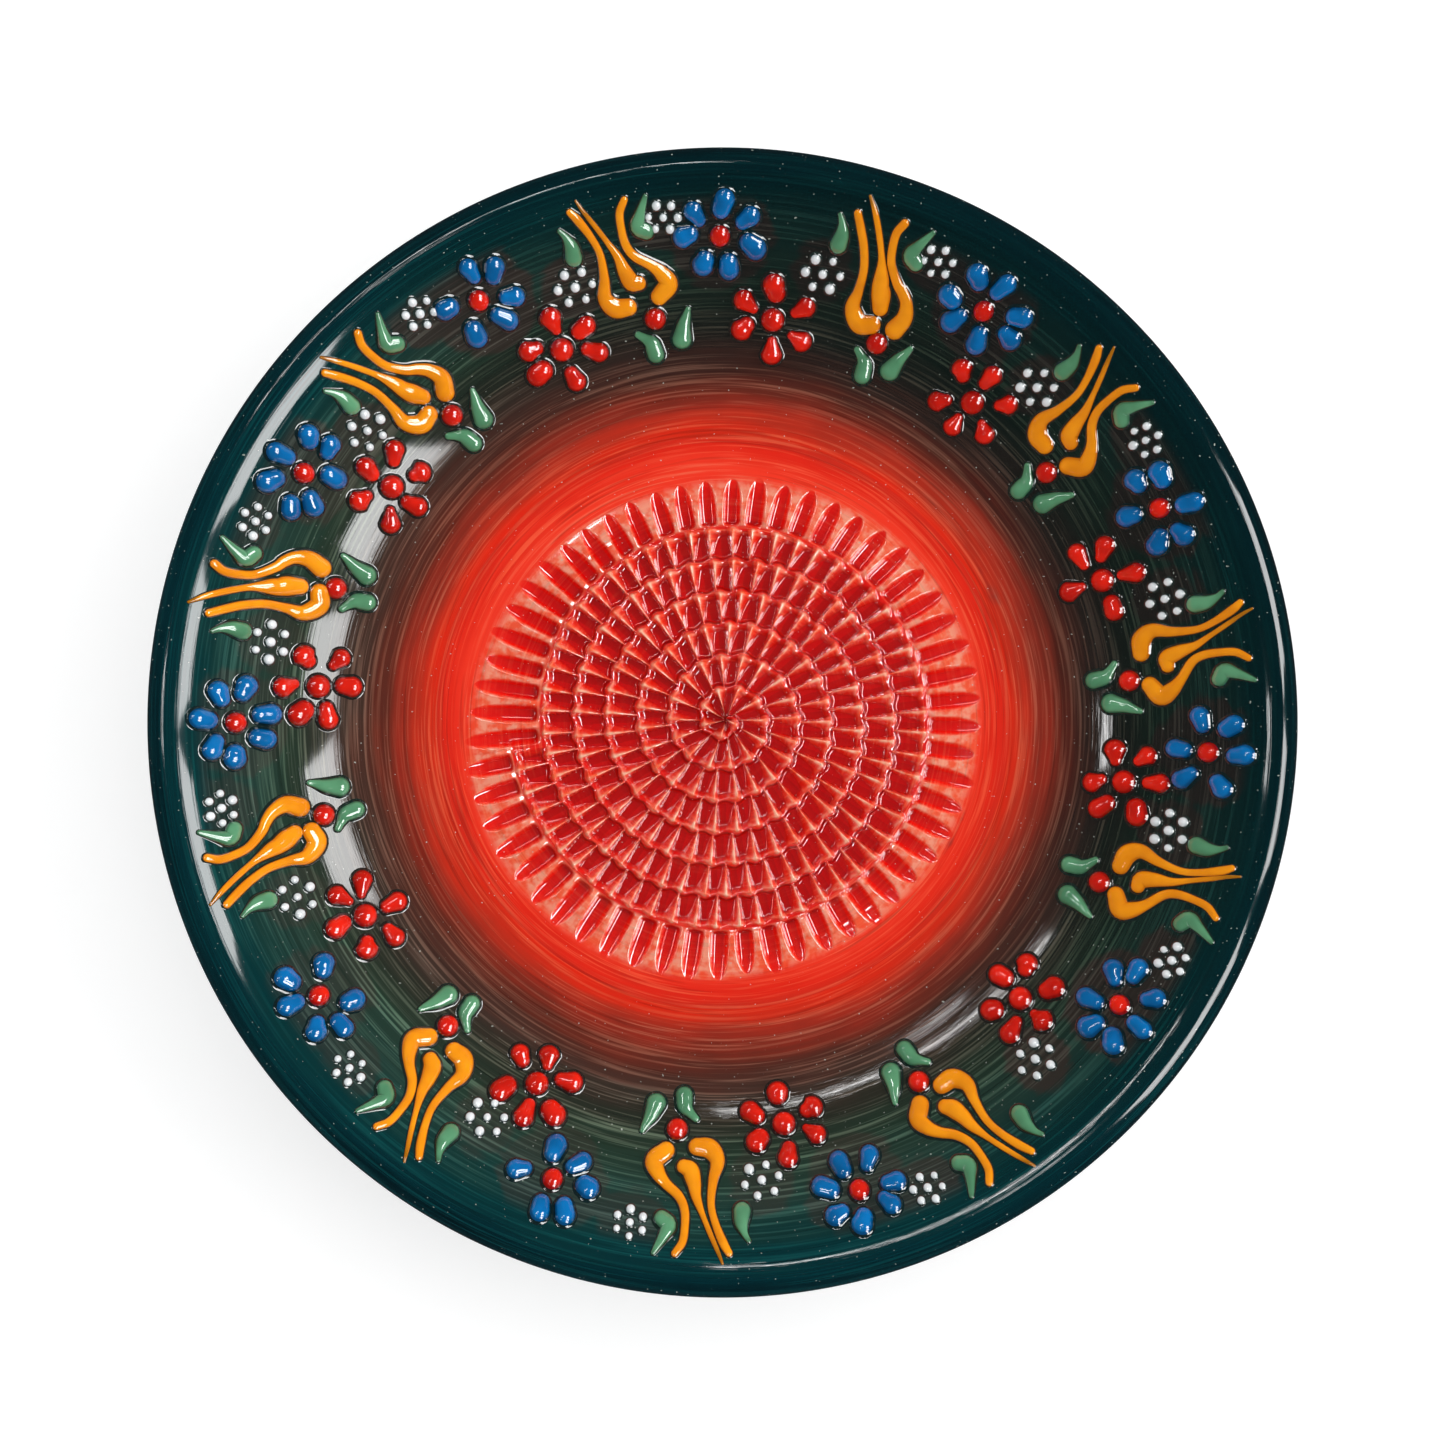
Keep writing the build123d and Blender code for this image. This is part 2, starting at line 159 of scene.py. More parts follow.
class Nodes:
    """Short calls for building one material's nodes."""

    def __init__(self, name):
        self.material = bpy.data.materials.new(name)
        self.material.use_nodes = True
        self.tree = self.material.node_tree
        self.shader = self.tree.nodes["Principled BSDF"]

    def put(self, socket, value):
        """Links an output to the socket, or sets its value."""
        if isinstance(value, bpy.types.NodeSocket):
            self.tree.links.new(value, socket)
        else:
            socket.default_value = value

    def node(self, kind, inputs=(), output=0, **settings):
        """Adds a node and returns one of its outputs."""
        made = self.tree.nodes.new(kind)
        for key, value in settings.items():
            setattr(made, key, value)
        for key, value in inputs:
            self.put(made.inputs[key], value)
        return made.outputs[output]

    def maths(self, operation, first, second=0.0, third=0.0):
        return self.node("ShaderNodeMath", ((0, first), (1, second), (2, third)), operation=operation)

    def between(self, value, low, high, to_low=0.0, to_high=1.0):
        """value moved from one range to another, softly at both ends."""
        inputs = ((0, value), (1, low), (2, high), (3, to_low), (4, to_high))
        return self.node("ShaderNodeMapRange", inputs, interpolation_type="SMOOTHSTEP")

    def mix(self, share, first, second, blend="MIX"):
        inputs = ((0, share), (6, first), (7, second))
        return self.node("ShaderNodeMix", inputs, output=2, data_type="RGBA", blend_type=blend)

    def noise(self, place, scale=1.0, detail=2.0, roughness=0.5):
        inputs = (("Vector", place), ("Scale", scale), ("Detail", detail), ("Roughness", roughness))
        return self.node("ShaderNodeTexNoise", inputs)

    def point_value(self, key):
        return self.node("ShaderNodeAttribute", output=2, attribute_name=key)

    def ramp(self, share, stops):
        made = self.tree.nodes.new("ShaderNodeValToRGB")
        elements = made.color_ramp.elements
        while len(elements) > 1:
            elements.remove(elements[-1])
        elements[0].position, elements[0].color = stops[0]
        for position, colour in stops[1:]:
            elements.new(position).color = colour
        self.put(made.inputs[0], share)
        return made.outputs[0]

    def bump(self, height, distance, strength=1.0):
        inputs = (("Height", height), ("Distance", distance), ("Strength", strength))
        self.put(self.shader.inputs["Normal"], self.node("ShaderNodeBump", inputs))

    def gloss(self, colour, roughness, coat=0.0):
        self.put(self.shader.inputs["Base Color"], colour)
        self.put(self.shader.inputs["Roughness"], roughness)
        self.put(self.shader.inputs["Coat Weight"], coat)
        self.put(self.shader.inputs["Coat Roughness"], 0.03)


# Colours of the brushed glaze by radius in mm: the ground, and the paler brush streaks over it.
ground_colours = (
    (0, (226, 16, 8)), (24, (236, 20, 10)), (26, (248, 46, 28)), (29, (255, 58, 32)), (31.5, (236, 36, 14)),
    (33.5, (212, 42, 22)), (35, (184, 46, 28)), (36.5, (150, 44, 30)), (38.5, (108, 42, 30)),
    (40.5, (80, 42, 33)), (43, (62, 46, 39)), (46, (40, 42, 34)), (50, (34, 52, 41)), (54, (32, 57, 50)),
    (57, (20, 53, 49)), (60, (4, 46, 48)), (63, (1, 40, 46)), (65, (0, 26, 32)),
)
streak_colours = (
    (0, (250, 64, 40)), (28, (255, 112, 80)), (31, (255, 84, 50)), (34, (226, 84, 54)), (36.5, (182, 86, 64)),
    (40, (140, 88, 70)), (44, (110, 92, 80)), (50, (88, 112, 92)), (56, (56, 96, 86)), (60, (12, 70, 70)),
    (65, (6, 58, 62)),
)


def radius_ramp(nodes, radius, colours):
    """A run of colours out from the middle of the dish; radius is in metres."""
    share = nodes.maths("DIVIDE", radius, plate_radius * MM)
    return nodes.ramp(share, [(r / plate_radius, linear(*colour)) for r, colour in colours])


def brushed_glaze(name, scored=False, underside=False):
    """Glaze laid on the turning wheel: a radial run of colours with fine concentric brush streaks.
    Where the clay is scored, the glaze breaks pale over the crests and pools dark in the cuts, and painted
    shade darkens the roots of the ridges.
    The underside has the lip's colours all over."""
    nodes = Nodes(name)
    place = nodes.node("ShaderNodeTexCoord", output=3)
    flat = nodes.node("ShaderNodeVectorMath", ((0, place), (1, (1, 1, 0))), operation="MULTIPLY")
    radius = nodes.node("ShaderNodeVectorMath", ((0, flat),), output=1, operation="LENGTH")
    bearing = nodes.node("ShaderNodeVectorMath", ((0, flat),), operation="NORMALIZE")
    parts = nodes.tree.nodes.new("ShaderNodeSeparateXYZ")
    nodes.put(parts.inputs[0], bearing)

    def streaks(along, across, detail):
        """Noise stretched round the dish; across is streaks per metre of radius."""
        inputs = (
            (0, nodes.maths("MULTIPLY", parts.outputs[0], along)),
            (1, nodes.maths("MULTIPLY", parts.outputs[1], along)),
            (2, nodes.maths("MULTIPLY", radius, across)),
        )
        return nodes.noise(nodes.node("ShaderNodeCombineXYZ", inputs), 1.0, detail, 0.6)

    fine = streaks(2.2, 3100.0, 3.0)
    broad = streaks(1.3, 620.0, 2.0)
    cloud = nodes.noise(place, 95.0, 3.0, 0.55)
    shift = nodes.maths("MULTIPLY_ADD", nodes.maths("SUBTRACT", broad, 0.5), 0.0045, radius)
    shift = nodes.maths("MULTIPLY_ADD", nodes.maths("SUBTRACT", cloud, 0.5), 0.0030, shift)
    if underside:
        shift = nodes.maths("MAXIMUM", shift, 0.059)
    ground = radius_ramp(nodes, shift, ground_colours)
    pale = radius_ramp(nodes, shift, streak_colours)
    streak_strength = nodes.between(broad, 0.30, 0.66, 0.3, 1.0)
    streak_share = nodes.maths("MULTIPLY", nodes.between(fine, 0.47, 0.66), streak_strength)
    colour = nodes.mix(streak_share, ground, pale)
    # from -1 on the lower left to 1 on the upper right, the side that the painted shade below darkens
    x_share = nodes.maths("MULTIPLY", parts.outputs[0], 0.77)
    side = nodes.maths("MULTIPLY_ADD", parts.outputs[1], 0.64, x_share)
    # charcoal clouds dabbed behind the blue flowers and the dots
    torn = nodes.maths("ADD", nodes.noise(place, 240.0, 3.0), nodes.maths("MULTIPLY", broad, 1.8))
    torn = nodes.maths("SUBTRACT", torn, 1.4)
    ragged = nodes.maths("MULTIPLY_ADD", torn, 0.9, nodes.point_value("dab"))
    below_lip = nodes.between(radius, 0.0580, 0.0600, 0.9, 0.0)
    seen = nodes.maths("MULTIPLY", below_lip, nodes.between(side, -0.7, 0.3, 0.4, 1.0))
    dabs = nodes.maths("MULTIPLY", nodes.between(ragged, 0.30, 0.72), seen)
    charcoal = nodes.mix(streak_share, linear(58, 47, 42), linear(98, 88, 80))
    colour = nodes.mix(dabs, colour, charcoal)
    dark_streaks = nodes.between(streaks(1.7, 1900.0, 2.0), 0.56, 0.72, 0.0, 0.55)
    colour = nodes.mix(dark_streaks, colour, nodes.mix(0.5, ground, linear(0, 0, 0)))
    if scored:
        pale_share = nodes.point_value("crest")
        pool_share = nodes.point_value("pool")
        speckle = nodes.noise(place, 900.0, 2.0)
        grain = nodes.between(speckle, 0.2, 0.7, 0.75, 1.0)
        colour = nodes.mix(nodes.maths("MULTIPLY", pool_share, grain), colour, linear(232, 0, 0))
        # painted shade, with some pooled glaze: deep maroon at the roots of the ridges and under each turn's
        # edge
        colour = nodes.mix(nodes.point_value("root"), colour, linear(96, 0, 0))
        bare_share = nodes.between(speckle, 0.35, 0.65)
        crest_colour = nodes.mix(bare_share, linear(255, 112, 70), linear(255, 200, 166))
        colour = nodes.mix(pale_share, colour, crest_colour)
    # painted shade: the border is darkened towards the upper right, where the wall faces away from the light
    on_border = nodes.between(radius, 0.036, 0.044)
    painted_side_shade = nodes.maths("MULTIPLY", nodes.between(side, -0.45, 0.85, 0.0, 0.62), on_border)
    colour = nodes.mix(painted_side_shade, colour, linear(0, 14, 16))
    specks = nodes.between(nodes.noise(place, 3600.0, 0.0), 0.83, 0.85, 0.0, 0.7)
    colour = nodes.mix(specks, colour, linear(190, 196, 186))
    nodes.gloss(colour, 0.06, 0.6 if scored else 0.25)
    nodes.put(nodes.shader.inputs["Specular IOR Level"], 1.0 if scored else 0.5)
    nodes.put(nodes.shader.inputs["IOR"], 1.7 if scored else 1.5)
    nodes.bump(nodes.maths("MULTIPLY", fine, nodes.between(radius, 0.030, 0.036, 0.35, 1.0)), 0.00004, 0.5)
    return nodes.material


def enamel(name, colour, deep_tone_and_shade, rim_glaze_and_shade):
    """A trailed bead: colour at the crown, deeper in random tones and with painted shade towards its edge,
    and a dark rim of glaze darkened as painted contact shade.
    """
    nodes = Nodes(name)
    place = nodes.node("ShaderNodeTexCoord", output=3)
    tone = nodes.noise(place, 260.0, 2.0)
    body = nodes.mix(nodes.between(tone, 0.3, 0.7, 0.0, 0.6), linear(*colour), linear(*deep_tone_and_shade))
    edge = nodes.point_value("edge")
    # painted shade: the bead darkens towards its edge
    body = nodes.mix(nodes.between(edge, 0.0, 0.4), body, linear(*deep_tone_and_shade))
    thin_share = nodes.maths("MULTIPLY", nodes.point_value("thin"), 0.7)
    body = nodes.mix(thin_share, body, linear(*[c * 0.45 for c in colour]))
    # a dark rim where the bead meets the glaze: the glaze's colour, darkened as painted contact shade
    nodes.gloss(nodes.mix(nodes.between(edge, 0.75, 1.0), body, linear(*rim_glaze_and_shade)), 0.07, 0.6)
    nodes.put(nodes.shader.inputs["Specular IOR Level"], 0.9)
    nodes.bump(nodes.noise(place, 1500.0, 2.0), 0.00002, 0.4)
    return nodes.material


def bare_clay(name):
    """Unglazed red clay, grainy and turned."""
    nodes = Nodes(name)
    place = nodes.node("ShaderNodeTexCoord", output=3)
    grain = nodes.noise(place, 2200.0, 4.0, 0.7)
    colour = nodes.mix(nodes.between(grain, 0.35, 0.65), linear(168, 92, 62), linear(203, 132, 98))
    nodes.gloss(colour, 0.85)
    nodes.bump(grain, 0.0001, 0.8)
    return nodes.material


glaze = brushed_glaze("brushed_glaze")
scored_glaze = brushed_glaze("scored_red_glaze", scored=True)
under_glaze = brushed_glaze("brushed_under_glaze", underside=True)
clay = bare_clay("bare_red_clay")
orange = enamel("orange_enamel", (255, 160, 16), (222, 122, 6), (26, 40, 34))
green = enamel("green_enamel", (98, 160, 118), (62, 112, 80), (22, 40, 34))
white = enamel("white_enamel", (240, 244, 246), (205, 212, 214), (34, 48, 44))
blue = enamel("blue_enamel", (4, 114, 184), (0, 74, 126), (12, 34, 36))
red = enamel("red_enamel", (236, 34, 14), (158, 8, 2), (34, 30, 26))

# ---- scored floor -------------------------------------------------------------------------------
spiral_pitch = 3.65
spiral_end_radius = 24.8
spiral_end_bearing = 188.0
spiral_centre = (0.4, 0.3)
tooth_spacing = 2.6
flute_count = 56
flute_end_radius = 29.5  # on average
rim_height = 0.34       # where one turn of teeth meets the next
tooth_height = 1.25
cut_depth = 0.18        # of the cuts, below the floor
tooth_chances = chance.uniform(-1, 1, (400, 4))


def scored_floor(x, y):
    """At plan points: height above the floor, paleness of the crests, depth of the pooled glaze, and how much
    painted shade, with some pooled glaze, darkens the root of a ridge."""
    dx, dy = x - spiral_centre[0], y - spiral_centre[1]
    radius = np.hypot(dx, dy)
    turned = (np.degrees(np.arctan2(dy, dx)) - spiral_end_bearing) % 360
    rows_in = (spiral_end_radius - radius) / spiral_pitch - turned / 360
    # the heads of each turn bulge outward between the cuts of the turn outside it
    edge = np.maximum(np.round(rows_in), 0)
    edge_way = np.radians(360 * edge + turned)
    edge_tooth = (spiral_end_radius * edge_way - spiral_pitch * edge_way**2 / (4 * pi)) / tooth_spacing
    rows_in = rows_in + 0.055 * np.cos(2 * pi * edge_tooth) * smooth_step(0.45, 0.1, np.abs(rows_in - edge))
    row = np.floor(rows_in)
    inward = rows_in - row
    unrolled = np.radians(360 * row + turned)
    travelled = spiral_end_radius * unrolled - spiral_pitch * unrolled**2 / (4 * pi)
    tooth = travelled / tooth_spacing
    number = np.floor(tooth + 0.5)
    luck = tooth_chances[np.clip(number, 0, 399).astype(int)]
    aside = tooth - number + 0.07 * luck[..., 0] * smooth_step(0.5, 0.25, np.abs(tooth - number))
    aside += 0.10 * (inward - 0.5) * luck[..., 1]
    reach = 1 - inward
    gentle = 0.08 + 0.50 * reach**1.1
    steep = 0.08 + 0.20 * reach**1.4
    flank = np.clip(1 - np.where(aside < 0, -aside / gentle, aside / steep), 0, 1)
    across = 0.35 * flank + 0.65 * smooth_step(0, 1, flank)
    along = smooth_step(0.0, 0.13, inward) * (1 - 0.62 * smooth_step(0.3, 0.96, inward))
    ridge = rim_height + (tooth_height * (1 + 0.1 * luck[..., 2]) - rim_height) * along
    ridge = rim_height + (ridge - rim_height) * smooth_step(1.0, 0.90, inward)
    cut = smooth_step(0.02, 0.26, inward) * smooth_step(1.0, 0.86, inward)
    bed = rim_height - (rim_height + cut_depth) * cut
    teeth = bed + (ridge - bed) * across
    crest = 0.22 * smooth_step(0.45, 0.85, flank) + 0.72 * smooth_step(0.70, 0.95, flank)
    crest = crest * smooth_step(0.01, 0.10, inward) * smooth_step(1.0, 0.86, inward)
    bar = np.exp(-(((inward - 0.11) / 0.055) ** 2)) * smooth_step(0.0, 0.3, flank)
    facet = 0.05 * smooth_step(0.0, 0.25, flank) * smooth_step(0.0, 0.1, inward)
    crest = np.clip(crest * (1.0 - 0.2 * inward) + 0.36 * bar + facet, 0, 1)
    pool = cut * smooth_step(0.5, 0.05, flank)
    # root: painted shade, with some pooled glaze, along the foot of each ridge, heavier beside its steep
    # flank, and under the edge of each turn
    root = np.exp(-(((flank - 0.10) / 0.10) ** 2)) * np.where(aside > 0, 0.85, 0.3) * cut
    root = np.maximum(root, 0.8 * np.exp(-(((inward - 0.95) / 0.04) ** 2)) * smooth_step(0.6, 0.2, flank))

    # long flutes outside the spiral
    start = spiral_end_radius - spiral_pitch * turned / 360
    # their outer ends lie on a slightly lopsided round, furthest out at the lower left
    way = np.arctan2(dy, dx)
    flute_end = flute_end_radius - 1.1 * np.sin(way) - 0.25 * np.cos(way)
    flute_end = flute_end + 0.4 * np.cos(2 * way) + 0.65 * np.sin(2 * way)
    out = np.clip((radius - start) / (flute_end - start), 0, 1)
    flute = turned / 360 * flute_count
    flute_number = np.floor(flute)
    flute_luck = tooth_chances[(flute_number.astype(int) * 5 + 3) % 400]
    off_centre = np.abs(flute - flute_number - 0.5 + 0.03 * flute_luck[..., 0])
    length_share = 1 - 0.07 * (1 + flute_luck[..., 1])
    half = (0.43 - 0.06 * out) * np.sqrt(np.clip(1 - (out / length_share) ** 4, 0, 1)) + 1e-3
    trough = np.clip(1 - (off_centre / half) ** 2, 0, 1) * smooth_step(0.0, 0.12, out)
    trough = smooth_step(0, 0.85, trough)
    web = smooth_step(1.0, 0.25, out) * (rim_height + 0.24 * smooth_step(0, 0.15, out))
    web = np.where(out <= 0, rim_height, web)
    flutes = web - trough * (web + 0.55 * smooth_step(1.0, 0.5, out))
    web_crest = 0.52 * smooth_step(0.5, 0.0, trough)
    web_crest = web_crest * smooth_step(0.0, 0.08, out) * smooth_step(1.0, 0.72, out)
    flute_pool = 0.85 * smooth_step(0.3, 0.9, trough) * smooth_step(1.02, 0.85, out)

    outside = rows_in < 0
    height = np.where(outside, flutes, teeth)
    crest = np.where(outside, web_crest, crest)
    pool = np.where(outside, flute_pool, pool)
    # painted shade at the inner end of each flute, under the last turn's edge
    root = np.where(outside, 0.55 * np.exp(-(((out - 0.05) / 0.06) ** 2)) * trough, root)
    # the step where the last turn stops
    last_turn = smooth_step(spiral_end_radius + 0.4, spiral_end_radius - 0.2, radius)
    turn_before = spiral_end_radius - spiral_pitch
    last_turn = last_turn * smooth_step(turn_before - 0.6, turn_before, radius)
    near_end = smooth_step(3.0, 0.0, np.minimum(turned, 360 - turned)) * last_turn
    height = height + (rim_height - height) * near_end
    kept = 1 - near_end
    return height, crest * kept, pool * kept, root * kept


def scored_ring(name, inner, outer, rings, turns, stands_for=()):
    """A ring of the scored floor, with its normals taken from the relief itself."""
    angles = np.linspace(0, 2 * pi, turns, endpoint=False)
    radii = np.linspace(inner, outer, rings)[:, None]
    x, y = radii * np.cos(angles), radii * np.sin(angles)
    height, crest, pool, root = scored_floor(x, y)
    step = 0.05
    slope_x = (scored_floor(x + step, y)[0] - scored_floor(x - step, y)[0]) / (2 * step)
    slope_y = (scored_floor(x, y + step)[0] - scored_floor(x, y - step)[0]) / (2 * step)
    normals = np.stack([-slope_x, -slope_y, np.ones_like(x)], axis=-1).reshape(-1, 3)
    normals /= np.linalg.norm(normals, axis=1)[:, None]
    points = np.stack([x, y, floor_height + height], axis=-1).reshape(-1, 3)
    values = {"crest": crest.ravel(), "pool": pool.ravel(), "root": root.ravel()}
    return make_piece(
        name, points, ring_faces(rings, turns), scored_glaze, stands_for, normals, values
    )


scored_ring("grater_middle", 0.01, 9.0, 74, 480, ["grater_teeth"])
scored_ring("grater_inner_turns", 9.0, 17.5, 70, 960)
scored_ring("grater_outer_turns", 17.5, 25.2, 66, 1320)
scored_ring("grater_flutes", 25.2, 33.0, 60, 1320)

# ---- brushed wall, lip, underside and foot ------------------------------------------------------
def arc_rows(centre, radius, start, end, count, turned_over=False):
    """Section rows along an arc of slopes, in radians.  A hollow arc lies below its centre."""
    rows = []
    for slope in np.linspace(start, end, count):
        side = -1 if turned_over else 1
        rows.append((centre[0] + side * radius * sin(slope), centre[1] - side * radius * cos(slope), slope))
    return rows


inner_wall = [(r, floor_height, 0.0) for r in np.linspace(33.0, floor_radius, 16)[:-1]]
inner_wall += arc_rows(hollow_centre, hollow_radius, 0, wall_slope, 44)
well = revolved("brushed_well", inner_wall, 720, glaze, ["glaze_coat"])

outer_wall = [(r, float(surface_height(r)), wall_slope) for r in np.linspace(wall_foot[0], wall_top[0], 24)]
outer_wall += arc_rows(roll_centre, roll_radius, wall_slope, lip_slope, 20, turned_over=True)[1:]
outer_wall += arc_rows(lip_centre, lip_radius, lip_slope, -pi / 2, 26, turned_over=True)[1:]
border = revolved("brushed_border_and_lip", outer_wall, 720, glaze)

under = arc_rows(lip_centre, lip_radius, -pi / 2, lip_slope - pi, 22, turned_over=True)
under += arc_rows(roll_centre, roll_radius - wall_thickness, lip_slope - pi, wall_slope - pi, 8)[1:]
under += arc_rows(hollow_centre, hollow_radius + wall_thickness, wall_slope + pi, pi, 40, turned_over=True)
under_height = floor_height - wall_thickness
under += [(r, under_height, pi) for r in np.linspace(floor_radius, foot_outer, 6)[1:]]
under += [(foot_outer, z, -pi / 2) for z in np.linspace(under_height, glaze_start, 6)]
revolved("glazed_underside", under, 480, under_glaze)

foot = [(foot_outer, glaze_start, -pi / 2), (foot_outer - 0.3, glaze_start, -pi / 2)]
foot += [(foot_outer - 0.3, z, -pi / 2) for z in (glaze_start - 0.05, foot_corner)]
foot += [
    (foot_outer - 0.3 - foot_corner * (1 - cos(a)), foot_corner * (1 - sin(a)), -pi / 2 - a)
    for a in np.linspace(0, pi / 2, 8)[1:]
]
foot += [(r, 0.0, pi) for r in np.linspace(foot_outer - 0.3 - foot_corner, foot_inner + foot_corner, 6)[1:]]
foot += [
    (foot_inner + foot_corner * (1 - sin(a)), foot_corner * (1 - cos(a)), pi - a)
    for a in np.linspace(0, pi / 2, 8)[1:]
]
foot += [(foot_inner, z, pi / 2) for z in np.linspace(foot_corner, recess_height, 6)[1:]]
foot += [(r, recess_height, pi) for r in np.linspace(foot_inner, 0.01, 40)]
revolved("bare_clay_foot", foot, 360, clay, ["clay_body"])


# ---- enamel beads -------------------------------------------------------------------------------
blue_petal_length = 3.0
blue_petal_half = 1.16
blue_heart_half = 1.14
red_petal_length = 2.9
red_petal_half = 1.2
red_heart_half = 1.32
bud_half = 1.2
dot_half = 0.49
outer_dot_half = 0.44
outer_dots_from = 55.1    # beyond this radius a dot belongs to the smaller, outer cluster
outer_dots_spread = 1.16
flower_cloud_reach = 6.0
dots_cloud_reach = 3.6
cloud_edge = 1.5          # a cloud fades over this much to either side of its reach
contact = radians(65)
dome_rings = (0.0, 0.3, 0.55, 0.75, 0.88, 0.95, 1.0)
skirt_rings = (0.07, 0.16, 0.28, 0.45, 0.7, 1.0)
edge_values = (0.0, 0.0, 0.0, 0.08, 0.3, 0.6, 0.9, 1.0, 1.0, 1.0, 1.0, 1.0, 1.0)


def smooth_line(points, spacing=0.22):
    """A smooth run of (x, y, half width) through the given ones."""
    points = np.array(points, float)
    ends = np.vstack([2 * points[0] - points[1], points, 2 * points[-1] - points[-2]])
    rows = []
    for i in range(1, len(ends) - 2):
        a, b, c, d = ends[i - 1 : i + 3]
        count = max(2, int(np.hypot(*(c - b)[:2]) / spacing))
        for t in np.arange(count) / count:
            squared = (2 * a - 5 * b + 4 * c - d) * t**2
            cubed = (3 * b - a - 3 * c + d) * t**3
            rows.append(0.5 * (2 * b + (c - a) * t + squared + cubed))
    rows.append(points[-1])
    return np.array(rows)


def outline(points):
    """The bead's outline as rows of (spine x, spine y, way out x, way out y, half width)."""
    if len(points) == 1:
        x, y, half = points[0]
        return np.array([(x, y, cos(a), sin(a), half) for a in np.linspace(0, 2 * pi, 36, endpoint=False)])
    line = smooth_line(points)
    tangent = np.gradient(line[:, :2], axis=0)
    heading = np.unwrap(np.arctan2(tangent[:, 1], tangent[:, 0]))
    rows = []
    for (x, y, half), angle in zip(line[::-1], heading[::-1]):
        rows.append((x, y, cos(angle + pi / 2), sin(angle + pi / 2), half))
    x, y, half = line[0]
    for turn in np.linspace(pi / 2, 3 * pi / 2, 12)[1:-1]:
        rows.append((x, y, cos(heading[0] + turn), sin(heading[0] + turn), half))
    for (x, y, half), angle in zip(line, heading):
        rows.append((x, y, cos(angle - pi / 2), sin(angle - pi / 2), half))
    x, y, half = line[-1]
    for turn in np.linspace(-pi / 2, pi / 2, 12)[1:-1]:
        rows.append((x, y, cos(heading[-1] + turn), sin(heading[-1] + turn), half))
    return np.array(rows)


def bead_points(points, rise):
    """A domed bead with a thin fillet of glaze round it, laid on the wall."""
    rows = outline(points)
    half = np.maximum(rows[:, 4], 0.05)
    fillet = np.minimum(0.25, 0.34 * half)
    rings = []
    for share in dome_rings:
        dome = (np.sqrt(1 - (share * sin(contact)) ** 2) - cos(contact)) / sin(contact)
        rings.append((half * share, fillet + rise * half * dome))
    for share in skirt_rings:
        rings.append((half + 1.8 * fillet * share, fillet * (1 - share) ** 3 - 0.012 * share))
    made = []
    for away, height in rings:
        x = rows[:, 0] + rows[:, 2] * away
        y = rows[:, 1] + rows[:, 3] * away
        radius = np.hypot(x, y)
        slope = surface_slope(radius)
        x_out, y_out = x / radius, y / radius
        back = height * np.sin(slope)
        z = surface_height(radius) + height * np.cos(slope)
        made.append(np.stack([x - back * x_out, y - back * y_out, z], axis=-1))
    return np.concatenate(made), len(rings), len(rows)


def bead_piece(name, beads, material, stands_for, rise=1.0):
    """All the beads of one colour group as one piece."""
    points, faces, edges, thins = [], [], [], []
    count = 0
    for spine in beads:
        placed, rings, turns = bead_points(spine, rise)
        faces += [[count + i for i in face] for face in ring_faces(rings, turns)]
        edges += list(np.repeat(edge_values, turns))
        thins += list(np.tile(smooth_step(0.34, 0.2, outline(spine)[:, 4]), rings))
        points.append(placed)
        count += len(placed)
    piece = make_piece(
        name, np.concatenate(points), faces, material, stands_for,
        values={"edge": edges, "thin": thins},
    )
    tidy = bmesh.new()
    tidy.from_mesh(piece.data)
    bmesh.ops.remove_doubles(tidy, verts=tidy.verts, dist=1e-7)
    bmesh.ops.recalc_face_normals(tidy, faces=tidy.faces)
    if sum(face.normal.z * face.calc_area() for face in tidy.faces) < 0:
        bmesh.ops.reverse_faces(tidy, faces=tidy.faces)
    tidy.to_mesh(piece.data)
    tidy.free()
    return piece


def cad_beads(node):
    """Plan centres, in mm, of the separate beads of a CAD node."""
    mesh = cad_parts[node].data
    places = np.zeros(len(mesh.vertices) * 3, np.float32)
    mesh.vertices.foreach_get("co", places)
    corners = np.zeros(len(mesh.loops), np.int32)
    mesh.loops.foreach_get("vertex_index", corners)
    places, same = np.unique(np.round(places.reshape(-1, 3) / MM, 4), axis=0, return_inverse=True)
    triangles = same.ravel()[corners.reshape(-1, 3)]
    label = np.arange(len(places))
    while True:
        lowest = label[triangles].min(axis=1)
        joined = label.copy()
        for corner in range(3):
            np.minimum.at(joined, triangles[:, corner], lowest)
        joined = joined[joined]
        if (joined == label).all():
            break
        label = joined
    groups = [places[label == value] for value in np.unique(label)]
    return [tuple((group.min(axis=0) + group.max(axis=0))[:2] / 2) for group in groups]


def petal(centre, flower, length, half, inner_share):
    """An egg-shaped bead; inner_share is how wide its end towards the flower's middle is."""
    way = np.array(centre) - np.array(flower)
    way = way / np.linalg.norm(way)
    side = np.array([-way[1], way[0]]) * chance.uniform(-0.2, 0.2)
    inner = np.array(centre) - way * (length / 2 - inner_share * half) - side
    outer = np.array(centre) + way * (length / 2 - half) + side
    return [(*inner, inner_share * half), (*outer, half)]


numbers = [f"{n:02d}" for n in range(1, 12)]
blue_middles = cad_beads("blue_flower_centres")


def nearest(places, node):
    """The place that lies nearest to the middle of a CAD node, in plan."""
    low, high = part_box(node)
    middle = np.array([(low.x + high.x) / 2, (low.y + high.y) / 2]) / MM
    return min(places, key=lambda place: np.hypot(*(np.array(place) - middle)))


